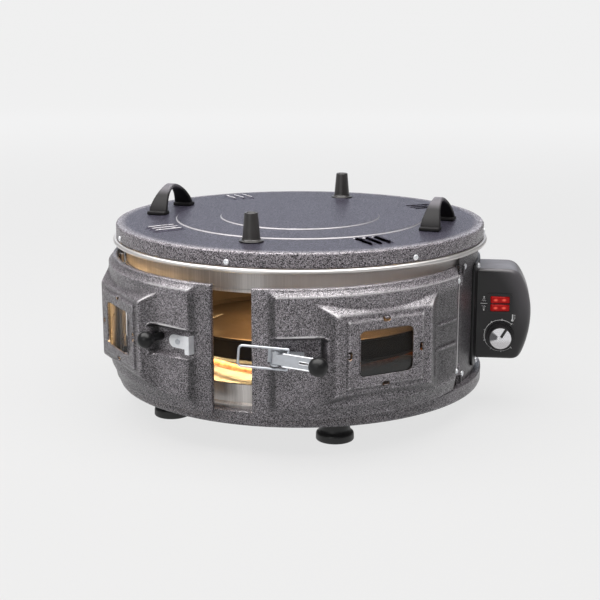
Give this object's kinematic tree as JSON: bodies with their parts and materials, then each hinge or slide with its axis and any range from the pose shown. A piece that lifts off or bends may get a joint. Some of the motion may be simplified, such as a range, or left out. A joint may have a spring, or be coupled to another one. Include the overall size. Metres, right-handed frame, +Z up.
{
  "type": "electric drum pizza oven",
  "caption": "Round countertop electric oven with a lift-off lid, hinged window doors joined by a toggle latch, a lift-out tray and a side control box.",
  "frame": {"origin": "table level under the middle of the overall box; the drum axis stands 27 mm to -X and 23 mm to +Y of it", "axes": "+Z up, front doors face -Y, control box on +X"},
  "size_m": [0.4892, 0.4823, 0.2504],
  "materials": {
    "hammered_paint": "hammered charcoal paint with fine light speckle",
    "lid_paint": "hammered slate paint",
    "bright_sheet": "vertically brushed bright sheet",
    "zinc": "zinc plated",
    "heater_tube": "oxidised tube, warm glow in use",
    "ceramic": "unglazed ceramic bush",
    "black_plastic": "satin black heat-proof plastic",
    "foot_rubber": "black",
    "tray_enamel": "black non-stick",
    "window_glass": "clear",
    "red_lens": "translucent red, lit",
    "cap_metal": "spun"
  },
  "bodies": {
    "oven": {"base_pan": "hammered_paint", "feet": "foot_rubber", "foot_screws": "zinc", "floor_reflector": "bright_sheet", "inner_drum": "bright_sheet", "rear_shell": "hammered_paint", "shell_rivets": "zinc", "hinge_leaves": "zinc", "hinge_pins": "zinc", "tray_supports": "zinc", "lower_heater": "heater_tube", "heater_clips": "zinc", "heater_terminal": "ceramic", "control_flange": "black_plastic", "flange_screws": "zinc", "control_housing": "black_plastic", "thermostat": "zinc", "switch_frame": "black_plastic", "switch_pin": "zinc", "cable_gland": "black_plastic"},
    "lid": {"lid_shell": "lid_paint", "lid_reflector": "bright_sheet", "lid_screws": "zinc", "lid_handle_left": "black_plastic", "lid_handle_right": "black_plastic", "lid_posts": "black_plastic", "handle_screws": "zinc", "upper_heater": "heater_tube", "upper_heater_clips": "zinc"},
    "left_door": {"left_door_panel": "hammered_paint", "left_window": "window_glass", "left_door_leaves": "zinc", "left_door_rivets": "zinc", "left_catch": "zinc", "left_catch_rivet": "zinc", "left_knob": "black_plastic"},
    "right_door": {"right_door_panel": "hammered_paint", "right_window": "window_glass", "right_door_leaves": "zinc", "right_door_rivets": "zinc", "latch_base": "zinc", "latch_rivets": "zinc", "latch_pin": "zinc"},
    "latch_lever": {"latch_lever": "zinc", "latch_knob": "black_plastic"},
    "latch_bail": {"latch_bail": "zinc"},
    "tray": {"baking_tray": "tray_enamel"},
    "thermostat_knob": {"thermostat_knob": "black_plastic", "knob_cap": "cap_metal"},
    "rocker_upper": {"rocker_upper": "red_lens"},
    "rocker_lower": {"rocker_lower": "red_lens"}
  },
  "joints": [
    {"name": "lid_lift", "type": "slide", "parent": "oven", "child": "lid", "axis": [0, 0, 1], "range_m": [0, 0.12]},
    {"name": "tray_lift", "type": "slide", "parent": "oven", "child": "tray", "axis": [0, 0, 1], "range_m": [0, 0.06]},
    {"name": "left_door_swing", "type": "hinge", "parent": "oven", "child": "left_door", "pos_m": [-0.23024, -0.03789, 0.1169], "axis": [0, 0, -1], "range_deg": [-6.85, 88.15]},
    {"name": "right_door_swing", "type": "hinge", "parent": "oven", "child": "right_door", "pos_m": [0.17609, -0.03789, 0.1169], "axis": [0, 0, 1], "range_deg": [-8.25, 86.75]},
    {"name": "latch_lever_turn", "type": "hinge", "parent": "right_door", "child": "latch_lever", "pos_m": [0.02589, -0.22476, 0.1169], "axis": [-0.0726, -0.0297, -0.9969], "range_deg": [-20, 90]},
    {"name": "latch_bail_swing", "type": "hinge", "parent": "latch_lever", "child": "latch_bail", "pos_m": [0.03834, -0.22312, 0.11594], "axis": [-0.0726, -0.0297, -0.9969], "range_deg": [-90, 20]},
    {"name": "thermostat_turn", "type": "hinge", "parent": "oven", "child": "thermostat_knob", "pos_m": [0.212, 0.03335, 0.0906], "axis": [0.1736, -0.9848, 0], "range_deg": [-20, 250]},
    {"name": "rocker_upper_tilt", "type": "hinge", "parent": "oven", "child": "rocker_upper", "pos_m": [0.20998, 0.03503, 0.13275], "axis": [0, 0, 1], "range_deg": [-14, 0]},
    {"name": "rocker_lower_tilt", "type": "hinge", "parent": "oven", "child": "rocker_lower", "pos_m": [0.20998, 0.03503, 0.12345], "axis": [0, 0, 1], "range_deg": [-14, 0]}
  ],
  "couplings": [
    {"joint": "latch_bail_swing", "follows": "latch_lever_turn", "ratio": -1}
  ]
}
